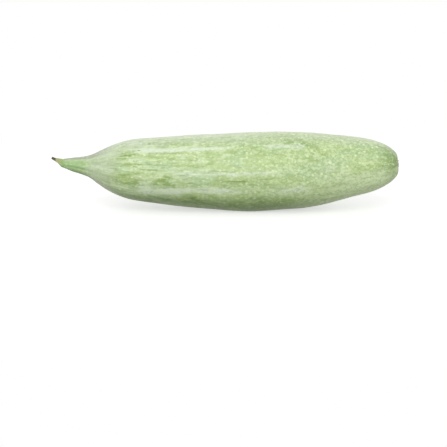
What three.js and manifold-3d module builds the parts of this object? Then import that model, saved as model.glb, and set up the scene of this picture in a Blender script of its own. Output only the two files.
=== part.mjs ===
// A short snake gourd lying on its belly, with the stub of stalk that it hung from.
// Millimetres, +Z up. +X runs along the gourd, from its stalk to its blossom end.
// The origin is on the resting surface, below the middle of the gourd's bounding box.

import * as THREE from 'three';
import { mergeVertices } from 'three/addons/utils/BufferGeometryUtils.js';
import Module from 'manifold-3d';

// Driving dimensions

const FRUIT_LENGTH = 271; // along X, from the stalk's seat to the blossom pole
const BELLY_RADIUS = 32; // where the fruit is fattest
const FLAT_DEPTH = 1; // how far the belly is pressed flat where it rests
const STALK_LENGTH = 9; // along X, from the neck's end to the middle of the dried tip
const STALK_FOOT_RADIUS = 3.7;
const STALK_GAP = 0.3; // clearance between the stalk's foot and its seat on the neck

const FRUIT_SIDES = 36;
const FRUIT_RINGS = 48;
const STALK_SIDES = 16;
const STALK_RINGS = 14;

// The fruit's outline: [share of the length, share of the belly radius].
// A thin neck flares into a long belly, which narrows slowly to a blunt blossom end.
const FRUIT_OUTLINE = [
  [0, 0.12],
  [0.028, 0.175],
  [0.055, 0.226],
  [0.08, 0.297],
  [0.107, 0.428],
  [0.14, 0.578],
  [0.185, 0.718],
  [0.235, 0.797],
  [0.33, 0.873],
  [0.44, 0.945],
  [0.53, 0.988],
  [0.61, 1],
  [0.68, 0.967],
  [0.765, 0.885],
  [0.85, 0.77],
  [0.915, 0.655],
  [0.955, 0.517],
  [0.983, 0.365],
  [0.997, 0.205],
  [1, 0],
];

// The fruit's centreline: [share of the length, sideways, height above its lowest place].
// It sags like a shallow bowl, the neck turns up, and the blossom end turns to -Y.
const FRUIT_CENTRELINE = [
  [0, 2.5, 6.6],
  [0.08, 1.8, 4.5],
  [0.2, 0.7, 1.8],
  [0.38, 0, 0.7],
  [0.54, 0, 0],
  [0.68, 0, 1.3],
  [0.82, -0.8, 3.9],
  [0.93, -2.6, 6.2],
  [1, -5, 8.4],
];

// The stalk's outline, from its foot to the tip: [share of the length, share of the foot radius].
const STALK_OUTLINE = [
  [0, 1],
  [0.06, 0.94],
  [0.17, 0.77],
  [0.34, 0.61],
  [0.53, 0.47],
  [0.72, 0.35],
  [0.9, 0.29],
  [1, 0.27],
];

// The stalk's centreline, from the middle of the neck's end: [share of the length, sideways, height].
// It leaves square to the neck and turns up.
const STALK_CENTRELINE = [
  [0, 0, 0],
  [0.09, 0.03, 0.1],
  [0.2, 0.1, 0.38],
  [0.37, 0.2, 1.05],
  [0.56, 0.3, 1.95],
  [0.76, 0.5, 2.85],
  [1, 0.75, 4],
];

const UP = new THREE.Vector3(0, 0, 1);

// A smooth curve through a centreline's rows, whose shares are taken of a length along X.
function curveThrough(rows, length) {
  const points = rows.map(([share, y, z]) => new THREE.Vector3(share * length, y, z));
  return new THREE.CatmullRomCurve3(points, false, 'catmullrom', 0.5);
}

// Points (radius, along) on a smooth curve through an outline's rows.
// A flat end is closed with a point on the axis.
function outlinePoints(rows, length, radius, rings) {
  const nodes = rows.map(([along, out]) => new THREE.Vector2(out * radius, along * length));
  const points = new THREE.SplineCurve(nodes).getPoints(rings);
  if (points[0].x > 0) {
    points.unshift(new THREE.Vector2(0, points[0].y));
  }
  if (points.at(-1).x > 0) {
    points.push(new THREE.Vector2(0, points.at(-1).y));
  }
  return points;
}

// A turned body whose straight axis is then laid along a centreline, from a start on it to its end.
// Each ring stays square to the centreline, so the outline keeps its true radius.
function bentLathe(outline, radius, rings, sides, centreline, start) {
  const length = centreline.getLength() - start;
  const geometry = new THREE.LatheGeometry(outlinePoints(outline, length, radius, rings), sides);
  const position = geometry.getAttribute('position');
  const turned = new THREE.Vector3();
  for (let i = 0; i < position.count; i++) {
    turned.fromBufferAttribute(position, i);
    const share = THREE.MathUtils.clamp((start + turned.y) / (start + length), 0, 1);
    const along = centreline.getTangentAt(share);
    const side = new THREE.Vector3().crossVectors(along, UP).normalize();
    const above = new THREE.Vector3().crossVectors(side, along);
    const placed = centreline.getPointAt(share);
    placed.addScaledVector(side, turned.x).addScaledVector(above, turned.z);
    position.setXYZ(i, placed.x, placed.y, placed.z);
  }
  return geometry;
}

// Position-only copy with shared corners merged and collapsed triangles left out.
function weld(geometry) {
  const bare = geometry.clone();
  bare.deleteAttribute('normal');
  bare.deleteAttribute('uv');
  const merged = mergeVertices(bare, 1e-4);
  const corners = merged.getIndex().array;
  const kept = [];
  for (let i = 0; i < corners.length; i += 3) {
    const [a, b, c] = corners.slice(i, i + 3);
    if (a !== b && b !== c && c !== a) {
      kept.push(a, b, c);
    }
  }
  merged.setIndex(kept);
  return merged;
}

function toManifold(wasm, geometry) {
  const welded = weld(geometry);
  const vertProperties = new Float32Array(welded.getAttribute('position').array);
  const triVerts = new Uint32Array(welded.getIndex().array);
  return new wasm.Manifold(new wasm.Mesh({ numProp: 3, vertProperties, triVerts }));
}

function toGeometry(manifold) {
  const mesh = manifold.getMesh();
  const geometry = new THREE.BufferGeometry();
  geometry.setAttribute('position', new THREE.BufferAttribute(mesh.vertProperties, 3));
  geometry.setIndex(new THREE.BufferAttribute(mesh.triVerts, 1));
  geometry.computeVertexNormals();
  return geometry;
}

// Moves the fruit so that its belly dips FLAT_DEPTH below z = 0, and cuts that dip away.
function settleOnFlat(wasm, geometry) {
  geometry.computeBoundingBox();
  const drop = -geometry.boundingBox.min.z - FLAT_DEPTH;
  geometry.translate(0, 0, drop);
  const slab = new THREE.BoxGeometry(FRUIT_LENGTH, 4 * BELLY_RADIUS, BELLY_RADIUS);
  slab.translate(FRUIT_LENGTH / 2, 0, -BELLY_RADIUS / 2);
  const cut = toManifold(wasm, geometry).subtract(toManifold(wasm, slab));
  return { geometry: toGeometry(cut), drop };
}

function makeFruit(wasm, centreline) {
  const body = bentLathe(FRUIT_OUTLINE, BELLY_RADIUS, FRUIT_RINGS, FRUIT_SIDES, centreline, 0);
  const { geometry, drop } = settleOnFlat(wasm, body);
  const skin = new THREE.MeshStandardMaterial({ color: 0xc0d4a4, roughness: 0.5, metalness: 0 });
  const fruit = new THREE.Mesh(geometry, skin);
  fruit.name = 'fruit';
  return { fruit, drop };
}

function makeStalk(neck, drop) {
  const centreline = curveThrough(STALK_CENTRELINE, -STALK_LENGTH);
  const geometry = bentLathe(
    STALK_OUTLINE,
    STALK_FOOT_RADIUS,
    STALK_RINGS,
    STALK_SIDES,
    centreline,
    STALK_GAP,
  );
  const bark = new THREE.MeshStandardMaterial({ color: 0xa4ac78, roughness: 0.8, metalness: 0 });
  const stalk = new THREE.Mesh(geometry, bark);
  stalk.name = 'stalk';
  stalk.position.copy(neck);
  stalk.position.z += drop;
  return stalk;
}

const wasm = await Module();
wasm.setup();

const centreline = curveThrough(FRUIT_CENTRELINE, FRUIT_LENGTH);
const { fruit, drop } = makeFruit(wasm, centreline);
const stalk = makeStalk(centreline.getPointAt(0), drop);

const gourd = new THREE.Group();
gourd.add(fruit, stalk);
gourd.updateMatrixWorld(true);
const middle = new THREE.Box3().setFromObject(gourd, true).getCenter(new THREE.Vector3());
gourd.position.set(-middle.x, -middle.y, 0);

export default gourd;
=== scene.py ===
"""The finished look of a short snake gourd with its stub of stalk, on a white table.

The file is laid out as an add-on. Property groups hold the sizes and colours, an operator makes
each piece, and a panel in the 3D view's sidebar lists them. Run as a script, it makes the whole
scene. Lengths are metres, +Z is up, and +X runs along the gourd to its blossom end.
"""

import math

import bpy
import numpy as np
from bpy.props import FloatProperty, FloatVectorProperty, IntProperty, PointerProperty
from bpy.types import Operator, Panel, PropertyGroup
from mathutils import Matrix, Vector


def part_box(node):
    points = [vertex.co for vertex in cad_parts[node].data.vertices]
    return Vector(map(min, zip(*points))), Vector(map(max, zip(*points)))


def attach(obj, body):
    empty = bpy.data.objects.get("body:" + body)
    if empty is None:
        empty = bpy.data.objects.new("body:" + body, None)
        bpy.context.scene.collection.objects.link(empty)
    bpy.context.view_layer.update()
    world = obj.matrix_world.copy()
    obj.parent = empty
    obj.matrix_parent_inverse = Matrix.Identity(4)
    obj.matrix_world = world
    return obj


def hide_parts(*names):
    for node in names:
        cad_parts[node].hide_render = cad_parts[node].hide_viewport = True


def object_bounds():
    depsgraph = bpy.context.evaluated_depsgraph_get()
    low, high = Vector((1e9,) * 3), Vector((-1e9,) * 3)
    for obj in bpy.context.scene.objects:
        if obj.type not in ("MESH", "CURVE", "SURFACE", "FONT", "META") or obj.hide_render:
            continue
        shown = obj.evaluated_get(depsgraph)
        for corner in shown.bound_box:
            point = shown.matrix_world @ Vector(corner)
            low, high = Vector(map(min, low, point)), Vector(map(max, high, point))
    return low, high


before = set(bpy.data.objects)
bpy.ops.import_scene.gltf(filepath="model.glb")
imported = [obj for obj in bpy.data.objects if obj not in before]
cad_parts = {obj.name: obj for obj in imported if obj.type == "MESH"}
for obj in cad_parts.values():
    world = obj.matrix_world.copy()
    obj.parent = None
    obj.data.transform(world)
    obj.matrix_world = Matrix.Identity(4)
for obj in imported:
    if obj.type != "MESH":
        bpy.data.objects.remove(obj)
CAD_BOX = [list(corner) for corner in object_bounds()]

bl_info = {
    "name": "Snake Gourd",
    "version": (1, 0, 0),
    "blender": (4, 5, 0),
    "location": "View3D > Sidebar > Gourd",
    "description": "Makes a snake gourd with its stalk, its blossom scar and a plain stage",
    "category": "Add Mesh",
}

MM = 0.001
UP = np.array([0.0, 0.0, 1.0])

# Places that come from the frame

FRUIT_LOW, FRUIT_HIGH = (np.array(corner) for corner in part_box("fruit"))
BELLY_RADIUS = (FRUIT_HIGH[1] - FRUIT_LOW[1]) / 2

# How finely shapes are worked out: steps along a row of points while its length is measured,
# points on a body's centreline, and the rings and sides of each small or trial body

CURVE_STEPS = 6000
CENTRELINE_POINTS = 2000
TRIAL_FRUIT_GRID = (400, 90)
STALK_GRID = (160, 72)
SCAR_GRID = (60, 60)

# How many waves of relief go round a body, and how far the stalk's turn in a metre, in radians

RIBS = 10
PUCKERS = 13
FURROWS = 9
STALK_RIBS = 5
SCAR_LOBES = 5
STALK_TWIST = 50

# How far the scar is let in from the blossom pole, in depths of the dimple

SCAR_DEPTHS = 3

# The stage, in metres

TABLE_HALF_WIDTH = 8.0
TABLE_DEPTH = 0.05 * MM
TABLE_WHITENS_FROM, TABLE_WHITE_AT = 0.2, 0.36
LAMP_WIDTH = 1.2
KEY_LAMP_PLACE = (-0.1, -1.0, 0.72)
BACK_LAMP_PLACE = (0.1, 1.0, 0.6)
LAMP_TARGET = Vector((0, 0, 0.03))
CAMERA_TARGET_SHIFT = Vector((-0.0011, 0, -0.044))

# Outlines and centrelines

# The fruit's outline, as [share of the length, share of the belly radius]. The neck's end closes
# in a small dome that the stalk's foot covers.
FRUIT_OUTLINE = [
    [-0.0005, 0.0],
    [0.0, 0.065],
    [0.0008, 0.103],
    [0.003, 0.12],
    [0.009, 0.132],
    [0.028, 0.175],
    [0.055, 0.226],
    [0.08, 0.297],
    [0.107, 0.428],
    [0.14, 0.578],
    [0.185, 0.718],
    [0.235, 0.797],
    [0.33, 0.873],
    [0.44, 0.945],
    [0.53, 0.988],
    [0.61, 1.0],
    [0.68, 0.967],
    [0.765, 0.885],
    [0.85, 0.77],
    [0.915, 0.655],
    [0.955, 0.525],
    [0.983, 0.38],
    [0.9965, 0.225],
    [1.0, 0.0],
]

# The fruit's centreline, as [share of the length, sideways in mm, height in mm]. It sags like a
# shallow bowl, the neck turns up, and the blossom end turns to -Y.
FRUIT_CENTRELINE = [
    [0.0, 2.5, 6.6],
    [0.08, 1.8, 4.5],
    [0.2, 0.7, 1.8],
    [0.38, 0.0, 0.7],
    [0.54, 0.0, 0.0],
    [0.68, 0.0, 1.3],
    [0.82, -0.8, 3.9],
    [0.93, -2.6, 6.2],
    [1.0, -5.0, 8.4],
]

# The stalk, in mm from the middle of the neck's end: its centreline, and its outline as
# [along, radius]. Its foot stands a little inside the neck, and its tip is slightly hollow.
STALK_CENTRELINE = [
    [1.4, -0.05, -0.2],
    [0.0, 0.0, 0.0],
    [-0.8, 0.05, 0.2],
    [-1.8, 0.1, 0.75],
    [-3.3, 0.2, 1.6],
    [-5.0, 0.3, 2.25],
    [-6.8, 0.5, 2.95],
    [-9.6, 0.8, 4.3],
]
STALK_OUTLINE = [
    [0.3, 0.0],
    [0.2, 2.2],
    [0.5, 3.2],
    [1.0, 3.6],
    [1.6, 3.65],
    [2.3, 3.42],
    [3.3, 2.85],
    [5.0, 2.25],
    [6.8, 1.75],
    [8.6, 1.3],
    [10.4, 1.05],
    [11.6, 1.0],
    [12.1, 0.8],
    [12.2, 0.4],
    [12.0, 0.0],
]

# The corky scar that the blossom left, in mm: its outline as [outward, radius] from just under
# the skin. It has a raised rim and a small nub.
SCAR_OUTLINE = [
    [-0.6, 0.0],
    [-0.5, 1.6],
    [0.1, 2.5],
    [0.75, 2.65],
    [1.05, 2.3],
    [0.85, 1.7],
    [0.55, 1.1],
    [0.75, 0.7],
    [1.1, 0.45],
    [1.15, 0.0],
]

# Marks on the skin, as [degrees up from the front, mm along, half width in mm, half length in
# mm, degrees that it leans up in a cm along, strength]. Past 90 degrees they are on the back.
GREEN_PATCHES = [
    [-12, 46, 4.4, 6, 0, 1.1],
    [-11, 57, 5.6, 6, 0, 1.3],
    [-10, 82, 5.0, 8, 0, 1.7],
    [-6, 103, 6.0, 10, 0, 0.5],
    [-4, 140, 6.0, 10, 0, 0.5],
    [-1, 162, 5.0, 9, 0, 0.5],
    [-46, 106, 5.0, 14, 0, 0.9],
    [-50, 192, 5.0, 26, 0, 1.0],
    [35, 71, 4.5, 8, 0, 0.35],
    [32, 104, 5.5, 9, 0, 0.4],
    [25, 152, 4.5, 9, 0, 0.35],
    [24, 200, 5.0, 9, 0, 0.35],
    [37, 158, 5.0, 56, 0, 0.4],
    [62, 88, 4.0, 13, 0, 0.8],
    [57, 188, 4.5, 13, 0, 0.5],
    [66, 66, 4.0, 12, 0, 0.4],
    [56, 246, 7.0, 14, 0, 0.55],
    [39, 53, 2.6, 10, 2.5, 1.5],
    [-38, 170, 5.0, 18, 0, 1.3],
    [-6, 195, 5.0, 9, 0, 0.4],
    [97, 120, 6.0, 20, 0, 0.6],
    [150, 66, 6.0, 16, 0, 0.8],
    [168, 172, 5.0, 20, 0, 0.7],
    [205, 118, 7.0, 24, 0, 0.8],
    [128, 214, 4.0, 14, 0, 0.6],
    [236, 84, 6.0, 18, 0, 0.7],
]
# Whitish streaks, partly wax bloom and partly painted highlights
BLOOM_AND_HIGHLIGHT_STREAKS = [
    [62, 28, 11.0, 9, 0, 1.0],
    [-4, 26, 8.0, 7, 0, 0.7],
    [70, 44, 8.0, 24, 0, 1.1],
    [50, 68, 4.4, 18, -0.5, 0.8],
    [49, 96, 3.4, 36, 0, 1.1],
    [50, 182, 2.8, 18, -0.5, 0.8],
    [11, 96, 2.4, 18, 0, 0.5],
    [9, 132, 2.5, 40, 0.3, 0.9],
    [-25, 79, 4.6, 20, 0.4, 1.4],
    [-29, 71, 3.5, 9, 0, 0.9],
    [45, 151, 3.0, 8, 0, 0.35],
    [-22, 214, 8.0, 12, 0, 0.2],
    [-18, 118, 3.2, 30, 0.3, 1.1],
    [-18, 184, 3.2, 15, 0, 1.0],
    [-9, 68, 3.0, 6, 0, 0.8],
    [10, 222, 10.0, 16, 0, 0.35],
    [88, 150, 8.0, 110, 0, 0.7],
    [118, 92, 2.6, 44, 1.0, 0.9],
    [146, 158, 3.0, 56, -1.0, 0.8],
    [186, 104, 2.6, 52, 0.6, 1.0],
    [226, 140, 2.8, 60, -0.8, 0.9],
]
DARK_DASHES = [
    [40, 53, 1.0, 8, 2.5, 0.9],
    [13, 74, 0.8, 5, 0, 1.0],
    [12, 43, 0.8, 5, 0, 0.8],
    [22, 62, 0.7, 4, 0, 0.8],
    [66, 70, 0.9, 1.3, 0, 1.5],
    [50, 62, 0.8, 1.4, 0, 1.0],
    [74, 105, 0.9, 12, 0, 0.7],
    [-2, 140, 0.8, 9, 0, 0.8],
    [2, 163, 0.7, 8, 0, 0.8],
    [-17, 112, 0.8, 8, 1, 0.7],
    [70, 176, 0.9, 16, 0, 0.7],
    [104, 60, 0.8, 7, 0, 0.9],
    [132, 128, 0.8, 9, 1, 0.9],
    [170, 88, 0.9, 8, 0, 0.9],
    [200, 190, 0.8, 10, 0, 0.9],
    [222, 60, 0.8, 7, 0, 0.8],
]


def display(red, green, blue):
    """A colour given as it looks on a display, 0 to 255, in the linear values that shaders take."""
    shares = np.array([red, green, blue]) / 255
    linear = np.where(shares <= 0.04045, shares / 12.92, ((shares + 0.055) / 1.055) ** 2.4)
    return tuple(linear.tolist())


# Shapes


def spline(rows, at):
    """Points of a smooth curve through rows, where at counts in rows.

    Between two rows each value follows the cubic whose slope at a row is half the step from the
    row before it to the row after it. Past its ends the curve is taken to carry on straight.
    """
    rows = np.asarray(rows, float)
    knots = np.vstack([2 * rows[0] - rows[1], rows, 2 * rows[-1] - rows[-2]])
    first = np.clip(np.floor(at).astype(int), 0, len(rows) - 2)
    t = (at - first)[:, None]
    a, b, c, d = (knots[first + k] for k in range(4))
    bend = 2 * a - 5 * b + 4 * c - d
    twist = 3 * b - a - 3 * c + d
    return b + 0.5 * ((c - a) * t + bend * t**2 + twist * t**3)


def even_points(rows, count):
    """Points on the spline through rows, the same distance apart, and the spline's whole length."""
    fine = np.linspace(0, len(rows) - 1, CURVE_STEPS)
    steps = np.linalg.norm(np.diff(spline(rows, fine), axis=0), axis=1)
    run = np.concatenate([[0.0], np.cumsum(steps)])
    return spline(rows, np.interp(np.linspace(0, run[-1], count), run, fine)), run[-1]


def bent_body(outline, centreline, rings, sides):
    """A turned body laid along a bent centreline, as a grid of points and of outward directions.

    A point is the centreline's point at its distance along, plus the outline's radius there times
    (cos angle x side + sin angle x above). The outward direction leans along the centreline as
    far as the outline does. The rings' distances along and the sides' angles come with them.
    """
    profile, _ = even_points(outline, rings)
    centres, length = even_points(centreline, CENTRELINE_POINTS)
    shares = profile[:, 0] / length
    where = np.linspace(0, 1, len(centres))
    lengthwise = np.gradient(centres, axis=0)
    centre = np.stack([np.interp(shares, where, centres[:, k]) for k in range(3)], axis=1)
    along = np.stack([np.interp(shares, where, lengthwise[:, k]) for k in range(3)], axis=1)
    along /= np.linalg.norm(along, axis=1, keepdims=True)
    side = np.cross(along, UP)
    side /= np.linalg.norm(side, axis=1, keepdims=True)
    above = np.cross(side, along)
    angle = np.linspace(0, 2 * np.pi, sides, endpoint=False)
    round_about = (
        np.cos(angle)[None, :, None] * side[:, None] + np.sin(angle)[None, :, None] * above[:, None]
    )
    points = centre[:, None] + profile[:, 1, None, None] * round_about
    lean = np.gradient(profile, axis=0)
    lean /= np.linalg.norm(lean, axis=1, keepdims=True)
    outward = lean[:, 0, None, None] * round_about - lean[:, 1, None, None] * along[:, None]
    return points, outward, profile[:, 0], angle


def waves(along, angle, seed, count, most_along, around):
    """An uneven field between about -1 and 1, smooth and closed round the body.

    It is a sum of cosines. Each has a random number of waves along the body, up to most_along per
    metre, a random whole number around it, within around, and a random phase.
    """
    draw = np.random.default_rng(seed)
    field = np.zeros((len(along), len(angle)))
    for _ in range(count):
        turns = draw.uniform(-most_along, most_along)
        lobes = draw.integers(around[0], around[1] + 1)
        phase = draw.uniform(0, 2 * np.pi)
        field += np.cos(2 * np.pi * turns * along[:, None] + lobes * angle[None] + phase)
    return field / math.sqrt(2 * count)


def hump(distance, middle, half_width):
    """A bell curve of height 1: e to the power of minus the squared distance in half widths."""
    return np.exp(-(((distance - middle) / half_width) ** 2))


def spots(marks, along, angle):
    """A field of soft marks. Each is a bell curve across, and lengthwise e to the power of minus
    the fourth power of the distance from its middle, counted in half lengths."""
    field = np.zeros((len(along), len(angle)))
    for degrees, middle, half_width, half_length, lean, strength in marks:
        ahead = along[:, None] / MM - middle
        turned = angle[None] - np.radians(degrees + lean * ahead / 10)
        turned = (turned + np.pi) % (2 * np.pi) - np.pi
        round_about = hump(turned * BELLY_RADIUS / MM, 0, half_width)
        field += strength * np.exp(-((ahead / half_length) ** 4)) * round_about
    return field


def close_grid(points):
    """Vertices, faces and face-corner coordinates of a grid whose first and last rings are poles.

    Faces run one step along and one step around. The coordinates are the shares of the way along
    and around, so the last column ends at 1 and not at 0.
    """
    rings, sides = points.shape[0] - 2, points.shape[1]
    body = points[1:-1]
    vertices = np.vstack([body.reshape(-1, 3), points[:1, 0], points[-1:, 0]])
    ring, column = np.mgrid[0 : rings - 1, 0:sides]
    ring, column = ring.ravel(), column.ravel()
    after = (column + 1) % sides
    quads = np.stack(
        [
            ring * sides + column,
            (ring + 1) * sides + column,
            (ring + 1) * sides + after,
            ring * sides + after,
        ],
        axis=1,
    )
    here = np.arange(sides)
    there = (here + 1) % sides
    first_pole, last_pole = rings * sides, rings * sides + 1
    first_fan = np.stack([np.full(sides, first_pole), here, there], axis=1)
    end = (rings - 1) * sides
    last_fan = np.stack([end + here, np.full(sides, last_pole), end + there], axis=1)
    faces = quads.tolist() + first_fan.tolist() + last_fan.tolist()
    steps = rings + 1
    quad_along = np.stack([ring + 1, ring + 2, ring + 2, ring + 1], axis=1) / steps
    quad_around = np.stack([column, column, column + 1, column + 1], axis=1) / sides
    first_along = np.tile([0, 1 / steps, 1 / steps], (sides, 1))
    first_around = np.stack([here + 0.5, here, here + 1], axis=1) / sides
    last_along = np.tile([rings / steps, 1, rings / steps], (sides, 1))
    last_around = np.stack([here, here + 0.5, here + 1], axis=1) / sides
    corners = np.stack(
        [
            np.concatenate([a.ravel() for a in (quad_along, first_along, last_along)]),
            np.concatenate([a.ravel() for a in (quad_around, first_around, last_around)]),
        ],
        axis=1,
    )
    return vertices, faces, corners


def set_attribute(mesh, name, grid):
    """A vector for every point of a closed grid, under a name that a finish can read."""
    values = np.vstack([grid[1:-1].reshape(-1, 3), grid[:1, 0], grid[-1:, 0]])
    mesh.attributes.new(name, "FLOAT_VECTOR", "POINT")
    mesh.attributes[name].data.foreach_set("vector", values.astype(np.float32).ravel())


def close_poles(points):
    """Draws each end ring of a grid together into one point, its middle."""
    points[0], points[-1] = points[0].mean(axis=0), points[-1].mean(axis=0)


def make_piece(name, points, along, angle, material, slot, *nodes):
    """A smooth closed piece from a grid of points, riding on the frame's one body.

    It stands in for the frame's nodes that are named. Its place attribute holds where each point
    was on a straight gourd of even thickness: (belly radius x cos angle, belly radius x sin
    angle, distance along).
    """
    vertices, faces, corners = close_grid(points)
    mesh = bpy.data.meshes.new(name)
    mesh.from_pydata(vertices.tolist(), [], faces)
    mesh.polygons.foreach_set("use_smooth", np.ones(len(faces), bool))
    layer = mesh.uv_layers.new(name="OFBake")
    layer.data.foreach_set("uv", corners.astype(np.float32).ravel())
    wide = np.full(len(along), BELLY_RADIUS)
    wide[0] = wide[-1] = 0
    across, up = np.outer(wide, np.cos(angle)), np.outer(wide, np.sin(angle))
    down_length = np.repeat(along[:, None], len(angle), axis=1)
    set_attribute(mesh, "place", np.stack([across, up, down_length], axis=2))
    mesh.materials.append(material)
    piece = bpy.data.objects.new(name, mesh)
    bpy.context.scene.collection.objects.link(piece)
    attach(piece, "root")
    if nodes:
        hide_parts(*nodes)
    return piece


def fruit_rows(length):
    """The fruit's outline and centreline in metres, for its length along X."""
    outline = [[share * length, out * BELLY_RADIUS] for share, out in FRUIT_OUTLINE]
    centreline = [[share * length, y * MM, z * MM] for share, y, z in FRUIT_CENTRELINE]
    return outline, centreline


def fruit_shift(length):
    """How far the fruit's rows move to lie in the frame's box: the highest corners are matched."""
    points, _, _, _ = bent_body(*fruit_rows(length), *TRIAL_FRUIT_GRID)
    return FRUIT_HIGH - points.reshape(-1, 3).max(axis=0)


def fruit_relief(sizes, along, angle):
    """How far the skin stands out from the turned body, ring by ring and column by column.

    It is the sum of broad lumps, low ribs from end to end, fine unevenness, furrows along the
    neck, puckers drawn in round the blossom scar, and the dimple that the scar is in.
    """
    from_pole = (along[-1] - along)[:, None]
    from_neck = along[:, None]
    quiet_ends = 1 - hump(from_pole, 0, 10 * MM) - hump(from_neck, 0, 8 * MM)
    lumps = waves(along, angle, seed=3, count=30, most_along=22, around=(0, 3))
    wander = waves(along, angle, seed=11, count=12, most_along=12, around=(0, 2))
    ribs = np.cos(RIBS * angle[None] + 1.4 * wander)
    fine = waves(along, angle, seed=5, count=70, most_along=90, around=(4, 15))
    puckers = np.cos(PUCKERS * angle[None] + 2 * wander) * hump(from_pole, 1.5 * MM, 2.5 * MM)
    puckers *= 1 - hump(from_pole, 0, 0.35 * MM)
    furrows = np.cos(FURROWS * angle[None] + 1.2 * wander) * hump(from_neck, 20 * MM, 22 * MM)
    return (
        sizes.lump_height * lumps * quiet_ends
        + sizes.rib_height * ribs * quiet_ends
        + sizes.fine_height * fine * quiet_ends
        + sizes.pucker_height * puckers
        + sizes.furrow_height * furrows
        - sizes.dimple_depth * hump(from_pole, 0, 5.5 * MM)
    )


# Finishes


def put(tree, kind, inputs, **options):
    """A new node with its options set and each input given a value or a link."""
    node = tree.nodes.new(kind)
    for name, value in options.items():
        setattr(node, name, value)
    for name, value in inputs.items():
        if isinstance(value, bpy.types.NodeSocket):
            tree.links.new(value, node.inputs[name])
        else:
            node.inputs[name].default_value = value
    return node


def calc(tree, operation, a, b=0.0, c=0.0):
    """A math node's result."""
    return put(tree, "ShaderNodeMath", {0: a, 1: b, 2: c}, operation=operation).outputs[0]


def plus(tree, value, other, times=1.0):
    """A value with another added to it so many times."""
    return calc(tree, "MULTIPLY_ADD", other, times, value)


def between(tree, share, at_none, at_full):
    """A straight run from at_none, where share is 0, to at_full, where it is 1."""
    return calc(tree, "MULTIPLY_ADD", share, at_full - at_none, at_none)


def product(tree, *factors):
    """Several values multiplied together."""
    found = factors[0]
    for factor in factors[1:]:
        found = calc(tree, "MULTIPLY", found, factor)
    return found


def strongest(tree, *values):
    """The largest of several values."""
    found = values[0]
    for value in values[1:]:
        found = calc(tree, "MAXIMUM", found, value)
    return found


def vector_calc(tree, operation, a, b, output=0):
    """A vector math node's result."""
    node = put(tree, "ShaderNodeVectorMath", {0: a, 1: b}, operation=operation)
    return node.outputs[output]


def noise(tree, vector, by, detail=2.0, warp=0.0):
    """Noise on a vector in metres that is first multiplied by so much along each axis."""
    vector = vector_calc(tree, "MULTIPLY", vector, by)
    inputs = {"Vector": vector, "Scale": 1.0, "Detail": detail, "Distortion": warp}
    return put(tree, "ShaderNodeTexNoise", inputs).outputs["Fac"]


def fade(tree, value, from_here, to_here):
    """0 where value is at from_here, 1 where it is at to_here, and smooth between."""
    inputs = {"Value": value, "From Min": from_here, "From Max": to_here}
    options = {"interpolation_type": "SMOOTHSTEP"}
    return put(tree, "ShaderNodeMapRange", inputs, **options).outputs["Result"]


def coat(tree, under, over, share):
    """The colour under, covered by the colour over as far as share says."""
    under, over = (
        colour if isinstance(colour, bpy.types.NodeSocket) else (*colour, 1.0)
        for colour in (under, over)
    )
    inputs = {0: share, 6: under, 7: over}
    return put(tree, "ShaderNodeMix", inputs, data_type="RGBA").outputs[2]


def dots(tree, vector, by, size, soft, odds):
    """Round dots, one in each cell of a jittered grid: 1 in a dot and 0 outside. Odds is the
    share of the cells that have none, and the rest differ in strength."""
    inputs = {"Vector": vector_calc(tree, "MULTIPLY", vector, by), "Scale": 1.0}
    cells = put(tree, "ShaderNodeTexVoronoi", inputs)
    inside = fade(tree, cells.outputs["Distance"], size + soft, size - soft)
    luck = put(tree, "ShaderNodeSeparateColor", {"Color": cells.outputs["Color"]}).outputs[0]
    return product(tree, inside, fade(tree, luck, odds, 1.0))


def veins(tree, vector, by, width):
    """A net of thin lines between the cells of a jittered grid: 1 on a line and 0 inside a cell."""
    inputs = {"Vector": vector_calc(tree, "MULTIPLY", vector, by), "Scale": 1.0}
    cells = put(tree, "ShaderNodeTexVoronoi", inputs, feature="DISTANCE_TO_EDGE")
    return fade(tree, cells.outputs["Distance"], width, 0.0)


def shaken(tree, vector, scale, reach):
    """A vector moved about by a noise of its own, so that straight edges on it turn wavy."""
    inputs = {"Vector": vector, "Scale": scale, "Detail": 1.0}
    wobble = put(tree, "ShaderNodeTexNoise", inputs).outputs["Color"]
    wobble = vector_calc(tree, "SUBTRACT", wobble, (0.5, 0.5, 0.5))
    wobble = vector_calc(tree, "MULTIPLY", wobble, (reach, reach, reach))
    return vector_calc(tree, "ADD", vector, wobble)


def shader_mix(tree, share, under, over):
    """The shader under, replaced by the shader over as far as share says."""
    inputs = {0: share, 1: under.outputs[0], 2: over.outputs[0]}
    return put(tree, "ShaderNodeMixShader", inputs)


def attribute(tree, name):
    """A mesh attribute's vector."""
    return put(tree, "ShaderNodeAttribute", {}, attribute_name=name).outputs["Vector"]


def object_point(tree):
    """Where the point is, in metres."""
    return put(tree, "ShaderNodeTexCoord", {}).outputs["Object"]


def parts_of(tree, vector):
    """The three parts of a vector."""
    return put(tree, "ShaderNodeSeparateXYZ", {"Vector": vector}).outputs


def new_finish(name, layers, bump_height):
    """A material whose colour, roughness and bump come from the function layers, and its shader."""
    material = bpy.data.materials.new(name)
    material.use_nodes = True
    tree = material.node_tree
    tree.nodes.clear()
    colour, rough, height = layers(tree)
    bump = put(tree, "ShaderNodeBump", {"Height": height, "Distance": bump_height})
    inputs = {"Base Color": colour, "Roughness": rough, "Normal": bump.outputs["Normal"]}
    shader = put(tree, "ShaderNodeBsdfPrincipled", inputs)
    put(tree, "ShaderNodeOutputMaterial", {"Surface": shader.outputs[0]})
    return material, shader


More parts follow.
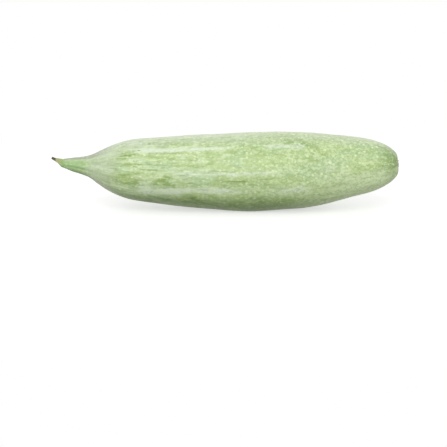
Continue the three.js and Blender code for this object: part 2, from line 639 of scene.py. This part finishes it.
class SkinCoats:
    """Coats of colour on the gourd's skin, laid one over another.

    What several coats read is worked out first. Up and along are where a point was on a straight
    gourd. The rest are shares from 0 to 1, or noises whose middle is 0.5.
    """

    def __init__(self, tree, colours, length, pole):
        self.tree, self.colours, self.length, self.pole = tree, colours, length, pole
        self.colour = colours.ground
        self.point = object_point(tree)
        self.place = attribute(tree, "place")
        _, self.up, self.along = parts_of(tree, self.place)
        self.patch_mark, self.bloom_mark, self.dash_mark = parts_of(tree, attribute(tree, "marks"))

        # Noises, from broad to fine
        self.drift = noise(tree, self.place, (75, 75, 34), 5, 0.8)
        self.mottle = fade(tree, noise(tree, self.place, (64, 64, 26), 4, 0.6), 0.36, 0.64)
        self.threads = noise(tree, self.place, (170, 170, 40), 4, 0.2)
        self.cloud = noise(tree, self.place, (230, 230, 90), 5, 0.3)
        self.ragged = noise(tree, self.place, (420, 420, 150), 3)

        # Stretches of the gourd's length
        self.near_neck = fade(tree, self.along, 100 * MM, 20 * MM)
        self.neck_half = fade(tree, self.along, 0.7 * length, 0.3 * length)
        self.round_end = fade(tree, self.along, 0.3 * length, 0.75 * length)
        self.lying_part = fade(tree, self.along, 0.84 * length, 0.62 * length)
        risen_part = fade(tree, self.along, 0.55 * length, 0.85 * length)

        # Painted shade on the side it lies on, and how fully that shade covers it, and painted
        # light under the blossom end, which is clear of the table
        low = self.height_fade(plus(tree, self.up, self.drift, BELLY_RADIUS), -0.02, -0.25)
        self.low = product(tree, low, self.lying_part)
        lowest = plus(tree, self.up, self.drift, 0.5 * BELLY_RADIUS)
        self.painted_shade_cover = between(tree, self.height_fade(lowest, -0.48, -0.74), 0.9, 0.35)
        self.ragged_up = plus(tree, self.up, self.ragged, 0.3 * BELLY_RADIUS)
        # Painted light under the raised blossom end, where it is clear of the table
        self.lit_underside = product(tree, self.height_fade(self.ragged_up, 0.31, -0.2), risen_part)

        # The flecks' grain: lengthwise dashes towards the neck, and rounder at the other end
        dash = noise(tree, self.point, (130, 430, 430), 3, 0.3)
        blot = noise(tree, self.point, (330, 470, 470), 2, 0.3)
        both = calc(tree, "ADD", product(tree, dash, 0.65), product(tree, blot, 0.35))
        self.grain = plus(tree, both, self.round_end, calc(tree, "SUBTRACT", blot, both))

    def height_fade(self, height, from_here, to_here):
        """A fade over a height, between two places that are counted in belly radii."""
        return fade(self.tree, height, from_here * BELLY_RADIUS, to_here * BELLY_RADIUS)

    def lay(self, colour, share):
        """Covers what is there with a colour, as far as share says."""
        self.colour = coat(self.tree, self.colour, colour, share)

    def lay_strands(self, strands, start, full, where, pale, deep):
        """Whitish strands where a noise is well above its middle, and green ones where it is well
        below. Start and full are how far from the middle they begin and are at their strongest."""
        tree = self.tree
        light = fade(tree, strands, 0.5 + start, 0.5 + full)
        self.lay(self.colours.bloom, product(tree, light, where, pale))
        dark = fade(tree, strands, 0.5 - start, 0.5 - full)
        self.lay(self.colours.patch, product(tree, dark, where, deep))

    def lay_ground(self):
        """The ground drifts between yellow green and blue green, under clouds a few millimetres
        wide, which are strongest towards the neck."""
        tree = self.tree
        self.lay(self.colours.grey_ground, self.mottle)
        clouded = between(tree, self.neck_half, 0.5, 1.2)
        self.lay(self.colours.gap, product(tree, fade(tree, self.cloud, 0.47, 0.33), clouded))
        self.lay(self.colours.fleck, product(tree, fade(tree, self.cloud, 0.53, 0.66), clouded))

    def lay_patches(self):
        """Patches that are darker green, both where the marks are and at random."""
        tree = self.tree
        broken = calc(tree, "ADD", product(tree, self.cloud, 0.5), product(tree, self.ragged, 0.5))
        marked = product(tree, self.patch_mark, fade(tree, broken, 0.34, 0.6))
        patch = plus(tree, plus(tree, self.drift, marked, 0.36), self.ragged, 0.5)
        patch = strongest(tree, fade(tree, patch, 0.88, 1.1), product(tree, marked, 0.6))
        self.lay(self.colours.patch, product(tree, patch, 0.85))

    def lay_painted_shade_and_light(self):
        """Painted shade on the side it lies on, painted light under the raised blossom end."""
        tree = self.tree
        # Painted shade: the side it lies on is coated deep green
        self.lay(self.colours.deep_green_and_shade, product(tree, self.low, self.painted_shade_cover))
        broken = between(tree, self.mottle, 0.5, 0.95)
        # Painted light: the drops' pale colour under the raised blossom end
        self.lay(self.colours.drop_and_lit_underside, product(tree, self.lit_underside, broken, self.cloud, 2.0))

    def lay_neck(self):
        """The neck is fresh green, with a paler collar past it. Threads run together on it, and
        fine lines run on along the half by the neck."""
        tree = self.tree
        edge = plus(tree, self.along, self.grain, 16 * MM)
        collar = fade(tree, edge, 20 * MM, 34 * MM)
        collar = product(tree, collar, fade(tree, edge, 60 * MM, 42 * MM))
        self.lay(self.colours.collar, product(tree, collar, 0.7))
        self.lay(self.colours.neck, product(tree, fade(tree, edge, 36 * MM, 16 * MM), 0.8))
        self.lay_strands(self.threads, 0.03, 0.16, self.near_neck, 0.35, 0.2)
        lines = noise(tree, self.place, (520, 520, 55), 3, 0.2)
        self.lay_strands(lines, 0.05, 0.18, self.neck_half, 0.35, 0.4)

    def lay_blossom_end(self):
        """Green rays close round the blossom scar, with a corky ring at it."""
        tree = self.tree
        away = vector_calc(tree, "DISTANCE", self.point, self.pole, "Value")
        # Fewer rays lower down, and fewer still where light is painted under the blossom end
        reach = plus(tree, plus(tree, away, self.threads, 30 * MM), self.up, -0.13)
        rays = fade(tree, reach, 37 * MM, 29 * MM)
        rays = product(tree, rays, between(tree, self.lit_underside, 0.9, 0.45))
        self.lay(self.colours.blossom, rays)
        cork = fade(tree, plus(tree, away, self.ragged, 8 * MM), 12 * MM, 7 * MM)
        self.lay(self.colours.cork, product(tree, cork, 0.65))

    def lay_bloom_and_highlights(self):
        """Whitish bloom in lengthwise streaks, partly painted highlights, both where the marks are
        and at random.
        """
        tree = self.tree
        bands = noise(tree, self.place, (150, 150, 8), 4, 0.2)
        unbroken = between(tree, fade(tree, self.drift, 0.36, 0.56), 0.33, 0.48)
        bloom = plus(tree, product(tree, bands, 0.6), self.bloom_mark, unbroken)
        bloom = fade(tree, calc(tree, "ADD", self.ragged, bloom), 0.94, 1.36)
        bloom = strongest(tree, bloom, product(tree, self.bloom_mark, 0.3))
        self.lay(self.colours.bloom, product(tree, bloom, 0.85))

    def lay_haze_and_rim_shade(self):
        """Grey haze along the top, partly wax bloom and partly painted sheen seen at a slant, and
        painted shade as a dull grey rim over the neck's top and keel.
        """
        tree = self.tree
        # Haze along the top: partly wax bloom, partly painted sheen seen at a slant
        raised = plus(tree, self.ragged_up, self.near_neck, 0.15 * BELLY_RADIUS)
        haze = self.height_fade(raised, 0.9, 1.12)
        haze = product(tree, haze, between(tree, self.near_neck, 0.55, 0.8))
        self.lay(self.colours.collar, haze)
        # Painted shade: a dull grey rim along the neck's top and its keel
        top = self.height_fade(raised, 1.02, 1.22)
        top = product(tree, top, fade(tree, self.along, 46 * MM, 20 * MM))
        keel = product(tree, self.height_fade(raised, -0.5, -0.72), self.near_neck, 0.85)
        self.lay(self.colours.sheen_tint_and_rim_shade, product(tree, strongest(tree, top, keel), 0.45))

    def lay_flecks(self):
        """A net of small flecks with thin dark veins between them at the rounder end, and bright
        drops on it. Returns how much of the skin the pale flecks and the drops cover."""
        tree = self.tree
        plain = between(tree, fade(tree, self.along, 60 * MM, 25 * MM), 1.0, 0.5)
        # The pale flecks and drops thin out on the painted shade of the side it lies on
        thin = between(tree, self.low, 1.0, 0.5)
        crowd = fade(tree, noise(tree, self.place, (95, 95, 45), 3), 0.3, 0.62)
        crowded = product(tree, between(tree, crowd, 0.4, 1.0), plain, thin)
        pale = product(tree, fade(tree, self.grain, 0.51, 0.63), crowded)

        gaps = plus(tree, between(tree, crowd, 1.0, 0.5), self.round_end, -0.5)
        gaps = product(tree, fade(tree, self.grain, 0.47, 0.34), gaps, plain)
        net = veins(tree, shaken(tree, self.point, 260.0, 3 * MM), (290, 350, 350), 0.2)
        net = product(tree, net, fade(tree, self.grain, 0.62, 0.42))
        net = product(tree, net, between(tree, self.round_end, 0.2, 0.6))
        dark = strongest(tree, product(tree, gaps, 0.95), net)
        # The gaps are lighter where light is painted under the blossom end
        self.lay(self.colours.gap, product(tree, dark, between(tree, self.lit_underside, 1.0, 0.85)))
        self.lay(self.colours.fleck, product(tree, pale, 0.7))

        large = dots(tree, self.point, (290, 320, 320), 0.31, 0.13, 0.25)
        large = product(tree, large, between(tree, self.round_end, 0.45, 1.0))
        small = dots(tree, self.point, (300, 560, 560), 0.32, 0.15, 0.4)
        small = product(tree, small, between(tree, self.round_end, 0.9, 0.5))
        drops = product(tree, thin, strongest(tree, large, small), plain)
        self.lay(self.colours.drop_and_lit_underside, product(tree, drops, 0.8))
        return pale, drops

    def lay_resting_shade(self):
        """Painted shade, a deeper green, round the place it rests on."""
        tree = self.tree
        rest = product(tree, self.height_fade(self.up, -0.32, -0.65), self.lying_part)
        rest = product(tree, rest, fade(tree, self.along, 0.2 * self.length, 0.34 * self.length))
        self.lay(self.colours.deep_green_and_shade, product(tree, rest, self.painted_shade_cover, 0.4))

    def lay_small_marks(self):
        """Short dark dashes, rare dark pricks and faint tan scuffs."""
        tree = self.tree
        dashes = fade(tree, plus(tree, self.dash_mark, self.ragged, 0.6), 0.6, 1.1)
        self.lay(self.colours.deep_green_and_shade, product(tree, dashes, 0.6))
        pricks = dots(tree, self.point, (38, 46, 46), 0.035, 0.02, 0.3)
        self.lay(self.colours.prick, product(tree, pricks, 0.8))
        scuff = fade(tree, noise(tree, self.point, (90, 150, 150), 5, 0.5), 0.66, 0.74)
        self.lay(self.colours.scuff, product(tree, scuff, 0.5))


def skin_finish(colours, length, pole):
    """Waxy gourd skin: a pale green ground covered by a net of small pale flecks, with darker
    patches, whitish lengthwise streaks that are partly painted highlights, a fresh green neck
    and green rays at the blossom end. It has painted shade on the side it lies on, painted light
    under the raised blossom end, painted grey sheen and rim shade along the top and the neck, and
    a soft sheen at a slant."""

    def layers(tree):
        skin = SkinCoats(tree, colours, length, pole)
        skin.lay_ground()
        skin.lay_patches()
        skin.lay_painted_shade_and_light()
        skin.lay_neck()
        skin.lay_blossom_end()
        skin.lay_bloom_and_highlights()
        skin.lay_haze_and_rim_shade()
        pale, drops = skin.lay_flecks()
        skin.lay_resting_shade()
        skin.lay_small_marks()
        rough = between(tree, pale, 0.42, 0.52)
        height = calc(tree, "ADD", calc(tree, "ADD", pale, drops), skin.threads)
        return skin.colour, rough, height

    material, shader = new_finish("waxy_skin", layers, 0.09 * MM)
    shader.inputs["Sheen Weight"].default_value = 1.0
    shader.inputs["Sheen Roughness"].default_value = 0.25
    shader.inputs["Sheen Tint"].default_value = (*colours.sheen_tint_and_rim_shade, 1.0)
    return material


def stalk_finish(colours):
    """Drying stalk: green at its foot, tan along its ribs, and dark at the tip and underneath."""

    def layers(tree):
        place = attribute(tree, "place")
        _, up, along = parts_of(tree, place)
        fibres = noise(tree, place, (260, 260, 120), 4)
        colour = coat(tree, colours.stalk, colours.straw, fade(tree, fibres, 0.35, 0.7))
        foot = fade(tree, along, 5.0 * MM, 2.0 * MM)
        colour = coat(tree, colour, colours.neck, product(tree, foot, 0.8))
        tip = fade(tree, plus(tree, along, fibres, 3 * MM), 9.0 * MM, 11.0 * MM)
        # Darker along the underside, and dark at the tip
        under = fade(tree, plus(tree, up, fibres, 20 * MM), -10 * MM, -22 * MM)
        dark_tip_and_underside = strongest(tree, tip, product(tree, under, 0.7))
        colour = coat(tree, colour, colours.withered, dark_tip_and_underside)
        rough = between(tree, fibres, 0.55, 0.85)
        return colour, rough, fibres

    material, _ = new_finish("stalk_fibre", layers, 0.25 * MM)
    return material


def scar_finish(colours):
    """Corky brown scar, darker in its cracks."""

    def layers(tree):
        crumbs = noise(tree, object_point(tree), (900, 900, 900), 4)
        colour = coat(tree, colours.cork, colours.withered, fade(tree, crumbs, 0.6, 0.35))
        rough = between(tree, crumbs, 0.7, 0.9)
        return colour, rough, crumbs

    material, _ = new_finish("blossom_cork", layers, 0.3 * MM)
    return material


# Settings


def shade(name, description, red, green, blue):
    """A colour property whose default is given as it looks on a display."""
    return FloatVectorProperty(
        name=name,
        description=description,
        default=display(red, green, blue),
        subtype="COLOR",
        size=3,
        min=0,
        max=1,
    )


def depth(name, description, millimetres):
    """A length property of a fraction of a millimetre up to a few."""
    return FloatProperty(
        name=name,
        description=description,
        default=millimetres * MM,
        unit="LENGTH",
        precision=5,
        min=0,
        soft_max=0.005,
    )


class GourdSizes(PropertyGroup):
    """Sizes of the fruit and of its relief."""

    length: FloatProperty(
        name="Length",
        description="Fruit from the neck's end to the blossom pole, along X",
        default=0.271,
        unit="LENGTH",
        precision=4,
    )
    rings: IntProperty(name="Rings", description="Rings of points along the fruit", default=430)
    sides: IntProperty(name="Sides", description="Points round the fruit", default=216)
    lump_height: depth("Lumps", "Height of the broad lumps", 0.45)
    rib_height: depth("Ribs", "Height of the ribs that run from end to end", 0.12)
    fine_height: depth("Unevenness", "Height of the fine unevenness", 0.07)
    pucker_height: depth("Puckers", "Height of the puckers round the blossom scar", 0.35)
    furrow_height: depth("Furrows", "Height of the furrows along the neck", 0.13)
    dimple_depth: depth("Dimple", "Depth of the dimple at the blossom end", 0.9)
    stalk_rib: FloatProperty(
        name="Stalk ribs",
        description="Height of the stalk's ribs, as a share of its radius",
        default=0.09,
        subtype="FACTOR",
        min=0,
        max=0.5,
    )
    scar_raggedness: FloatProperty(
        name="Scar's raggedness",
        description="Height of the scar's uneven lobes, as a share of its radius",
        default=0.1,
        subtype="FACTOR",
        min=0,
        max=0.5,
    )


class GourdColours(PropertyGroup):
    """Colours of the skin, the stalk and the scar."""

    ground: shade("Ground", "Yellow-green ground of the skin", 187, 209, 144)
    grey_ground: shade("Grey ground", "Bluer parts of the ground", 184, 208, 160)
    patch: shade("Patches", "Darker green patches", 126, 158, 66)
    # Deep green of the dark dashes, and of the painted shade on the side it lies on
    deep_green_and_shade: shade("Lying side", "Deep green of the side it lies on", 100, 130, 58)
    gap: shade("Gaps", "Green between the flecks", 152, 178, 112)
    # Whitish streaks and strands; the streaks are partly painted highlights
    bloom: shade("Bloom", "Whitish lengthwise streaks", 229, 241, 221)
    fleck: shade("Flecks", "Small pale flecks", 214, 231, 184)
    prick: shade("Pricks", "Rare dark pricks", 112, 124, 88)
    scuff: shade("Scuffs", "Faint tan scuffs", 206, 198, 158)
    # Tint of the sheen, also painted as a grey rim of shade on the neck's top and keel
    sheen_tint_and_rim_shade: shade("Veil", "Greyish bloom seen at a slant", 118, 118, 104)
    # Brightest round flecks, and painted light under the raised blossom end
    drop_and_lit_underside: shade("Drops", "Brightest round flecks", 228, 245, 200)
    # Greyish band past the neck, also used for the haze along the top, which is partly painted
    # sheen
    collar: shade("Collar", "Greyish band past the neck", 200, 212, 184)
    neck: shade("Neck", "Fresh green of the neck", 154, 192, 128)
    blossom: shade("Blossom end", "Green rays at the blossom end", 134, 164, 96)
    cork: shade("Cork", "Pale brown of the blossom scar", 168, 158, 122)
    stalk: shade("Stalk", "Green-gold of the drying stalk", 164, 172, 116)
    straw: shade("Straw", "Pale tan of the stalk's ribs", 196, 196, 144)
    withered: shade("Withered tip", "Dark end of the stalk", 92, 86, 64)


class StageSizes(PropertyGroup):
    """Where the camera stands, how wide it sees, and how bright the lamps are."""

    elevation: FloatProperty(
        name="Camera height",
        description="Angle of the camera above the table",
        default=math.radians(15),
        subtype="ANGLE",
    )
    view_width: FloatProperty(
        name="View width",
        description="Width of what the camera sees at the gourd",
        default=0.365,
        unit="LENGTH",
        precision=4,
    )
    lens: FloatProperty(
        name="Lens", description="Focal length", default=100, unit="CAMERA", min=1
    )
    key: FloatProperty(
        name="Key lamp",
        description="Power of the soft lamp above the camera",
        default=8.8,
        unit="POWER",
        min=0,
    )
    back: FloatProperty(
        name="Back lamp",
        description="Power of the weak lamp behind",
        default=1.4,
        unit="POWER",
        min=0,
    )
    ambient: FloatProperty(
        name="Ambient", description="Brightness of the studio", default=0.6, min=0
    )
    floor: shade("Table", "Plain white table", 205, 205, 205)
    bounce: shade("Table's reflection", "What the table throws back on the gourd", 164, 166, 154)
    lift: FloatProperty(
        name="Lift",
        description="How much brighter the table looks than it is lit",
        default=0.58,
        min=0,
    )


# Operators


class GOURD_OT_fruit(Operator):
    """Make the fruit's skin over the frame's fruit"""

    bl_idname = "gourd.fruit"
    bl_label = "Fruit"

    def execute(self, context):
        sizes = context.scene.gourd_sizes
        rows = fruit_rows(sizes.length)
        points, outward, along, angle = bent_body(*rows, sizes.rings, sizes.sides)
        points += fruit_shift(sizes.length)
        points += outward * fruit_relief(sizes, along, angle)[:, :, None]
        close_poles(points)
        points[:, :, 2] = np.maximum(points[:, :, 2], 0)
        material = skin_finish(context.scene.gourd_colours, sizes.length, points[-1, 0])
        skin = make_piece("fruit_skin", points, along, angle, material, "gourd_skin", "fruit")
        kinds = (GREEN_PATCHES, BLOOM_AND_HIGHLIGHT_STREAKS, DARK_DASHES)
        marks = np.stack([spots(kind, along, angle) for kind in kinds], axis=2)
        set_attribute(skin.data, "marks", marks)
        return {"FINISHED"}


class GOURD_OT_stalk(Operator):
    """Make the ribbed stub of stalk at the neck's end"""

    bl_idname = "gourd.stalk"
    bl_label = "Stalk"

    def execute(self, context):
        sizes = context.scene.gourd_sizes
        neck = np.array(fruit_rows(sizes.length)[1][0]) + fruit_shift(sizes.length)
        outline = [[x * MM, r * MM] for x, r in STALK_OUTLINE]
        centreline = [[c * MM for c in row] for row in STALK_CENTRELINE]
        points, outward, along, angle = bent_body(outline, centreline, *STALK_GRID)
        radius = even_points(outline, len(along))[0][:, 1, None]
        ribs = np.cos(STALK_RIBS * angle[None] + STALK_TWIST * along[:, None])
        uneven = waves(along, angle, seed=21, count=20, most_along=350, around=(2, 9))
        quiet_foot = 1 - 0.85 * hump(along[:, None], 0.7 * MM, 1.4 * MM)
        ribs = (ribs + 0.35 * uneven) * quiet_foot
        points += neck + outward * (sizes.stalk_rib * radius * ribs)[:, :, None]
        close_poles(points)
        material = stalk_finish(context.scene.gourd_colours)
        make_piece("stalk_stub", points, along, angle, material, "dry_stalk", "stalk")
        return {"FINISHED"}


class GOURD_OT_scar(Operator):
    """Make the corky scar in the dimple at the blossom end"""

    bl_idname = "gourd.scar"
    bl_label = "Blossom scar"

    def execute(self, context):
        sizes = context.scene.gourd_sizes
        ends = np.array(fruit_rows(sizes.length)[1][-2:])
        axis = (ends[1] - ends[0]) / np.linalg.norm(ends[1] - ends[0])
        seat = ends[1] + fruit_shift(sizes.length) - axis * SCAR_DEPTHS * sizes.dimple_depth
        centreline = [axis * step * MM for step in (-1, 0, 1, 2)]
        outline = [[x * MM + MM, r * MM] for x, r in SCAR_OUTLINE]
        points, outward, along, angle = bent_body(outline, centreline, *SCAR_GRID)
        radius = even_points(outline, len(along))[0][:, 1, None]
        uneven = waves(along, angle, seed=33, count=16, most_along=300, around=(3, 11))
        ragged = np.cos(SCAR_LOBES * angle[None] + 0.8) + 0.8 * uneven
        points += seat + outward * (sizes.scar_raggedness * radius * ragged)[:, :, None]
        close_poles(points)
        material = scar_finish(context.scene.gourd_colours)
        make_piece("blossom_scar", points, along, angle, material, "dry_stalk")
        return {"FINISHED"}


class GOURD_OT_stage(Operator):
    """Set the white table, the studio light and the camera"""

    bl_idname = "gourd.stage"
    bl_label = "Stage"

    def execute(self, context):
        stage = context.scene.gourd_stage
        context.scene.view_settings.view_transform = "Standard"
        self.set_table(context, stage)
        self.set_light(context, stage)
        self.set_camera(context, stage)
        return {"FINISHED"}

    def set_table(self, context, stage):
        """A wide white plane a hair below the gourd. To the camera it takes the gourd's shadow
        nearby and is plain white further out. It throws a duller light back on the gourd."""
        square = np.array([(-1, -1), (1, -1), (1, 1), (-1, 1)]) * TABLE_HALF_WIDTH
        corners = [(x, y, -TABLE_DEPTH) for x, y in square.tolist()]
        mesh = bpy.data.meshes.new("table")
        mesh.from_pydata(corners, [], [(0, 1, 2, 3)])
        material = bpy.data.materials.new("table_white")
        material.use_nodes = True
        tree = material.node_tree
        tree.nodes.clear()
        centre = (0, 0, 0)
        away = vector_calc(tree, "DISTANCE", object_point(tree), centre, "Value")
        far = fade(tree, away, TABLE_WHITENS_FROM, TABLE_WHITE_AT)
        paper = put(tree, "ShaderNodeBsdfDiffuse", {"Color": (*stage.floor, 1.0)})
        bounce = put(tree, "ShaderNodeBsdfDiffuse", {"Color": (*stage.bounce, 1.0)})
        lift = put(tree, "ShaderNodeEmission", {"Strength": stage.lift})
        near = put(tree, "ShaderNodeAddShader", {0: paper.outputs[0], 1: lift.outputs[0]})
        white = put(tree, "ShaderNodeEmission", {"Strength": 1.0})
        shown = shader_mix(tree, far, near, white)
        surface = shader_mix(tree, self.seen_rays(tree), bounce, shown)
        put(tree, "ShaderNodeOutputMaterial", {"Surface": surface.outputs[0]})
        mesh.materials.append(material)
        table = bpy.data.objects.new("table", mesh)
        context.scene.collection.objects.link(table)

    def seen_rays(self, tree):
        """1 for rays from the camera, straight, mirrored or passed through, and 0 for the rest."""
        rays = put(tree, "ShaderNodeLightPath", {}).outputs
        return strongest(
            tree, rays["Is Camera Ray"], rays["Is Glossy Ray"], rays["Is Transmission Ray"]
        )

    def set_light(self, context, stage):
        """A big soft lamp above the camera and a weak one behind, in a studio that looks white."""
        world = bpy.data.worlds.new("studio")
        world.use_nodes = True
        tree = world.node_tree
        tree.nodes.clear()
        dim = put(tree, "ShaderNodeBackground", {"Color": (1, 1, 1, 1), "Strength": stage.ambient})
        white = put(tree, "ShaderNodeBackground", {"Color": (1, 1, 1, 1), "Strength": 1.0})
        surface = shader_mix(tree, self.seen_rays(tree), dim, white)
        put(tree, "ShaderNodeOutputWorld", {"Surface": surface.outputs[0]})
        context.scene.world = world
        self.set_lamp(context, "key_lamp", stage.key, KEY_LAMP_PLACE)
        self.set_lamp(context, "back_lamp", stage.back, BACK_LAMP_PLACE)

    def set_lamp(self, context, name, power, place):
        """A wide round soft lamp that faces the gourd."""
        lamp = bpy.data.lights.new(name, "AREA")
        lamp.shape = "DISK"
        lamp.size = LAMP_WIDTH
        lamp.energy = power
        holder = bpy.data.objects.new(name, lamp)
        holder.location = place
        aim(holder, LAMP_TARGET)
        context.scene.collection.objects.link(holder)

    def set_camera(self, context, stage):
        """A long lens in front of the gourd, aimed below it, so that it stands high in the view."""
        low, high = (Vector(corner) for corner in CAD_BOX)
        target = (low + high) / 2 + CAMERA_TARGET_SHIFT
        camera = bpy.data.cameras.new("camera")
        camera.lens = stage.lens
        distance = stage.view_width * camera.lens / camera.sensor_width
        back = Vector((0, -math.cos(stage.elevation), math.sin(stage.elevation)))
        holder = bpy.data.objects.new("camera", camera)
        holder.location = target + back * distance
        aim(holder, target)
        context.scene.collection.objects.link(holder)
        context.scene.camera = holder


def aim(thing, target):
    """Turns a lamp or camera to face a target."""
    thing.rotation_euler = (target - thing.location).to_track_quat("-Z", "Y").to_euler()


class GOURD_PT_panel(Panel):
    """Lists the gourd's pieces and settings"""

    bl_idname = "GOURD_PT_panel"
    bl_label = "Snake Gourd"
    bl_space_type = "VIEW_3D"
    bl_region_type = "UI"
    bl_category = "Gourd"

    def draw(self, context):
        for operator in OPERATORS:
            self.layout.operator(operator.bl_idname)
        scene = context.scene
        for group in (scene.gourd_sizes, scene.gourd_colours, scene.gourd_stage):
            box = self.layout.box()
            for name in group.__annotations__:
                box.prop(group, name)


OPERATORS = (GOURD_OT_fruit, GOURD_OT_stalk, GOURD_OT_scar, GOURD_OT_stage)
CLASSES = (GourdSizes, GourdColours, StageSizes, *OPERATORS, GOURD_PT_panel)


def register():
    """Registers the classes, and gives every scene its sizes and colours."""
    for cls in CLASSES:
        bpy.utils.register_class(cls)
    bpy.types.Scene.gourd_sizes = PointerProperty(type=GourdSizes)
    bpy.types.Scene.gourd_colours = PointerProperty(type=GourdColours)
    bpy.types.Scene.gourd_stage = PointerProperty(type=StageSizes)


def unregister():
    """Takes back what register did."""
    del bpy.types.Scene.gourd_stage
    del bpy.types.Scene.gourd_colours
    del bpy.types.Scene.gourd_sizes
    for cls in reversed(CLASSES):
        bpy.utils.unregister_class(cls)


def main():
    """Makes every piece and the stage."""
    register()
    bpy.ops.gourd.fruit()
    bpy.ops.gourd.stalk()
    bpy.ops.gourd.scar()
    bpy.ops.gourd.stage()


if __name__ == "__main__":
    main()
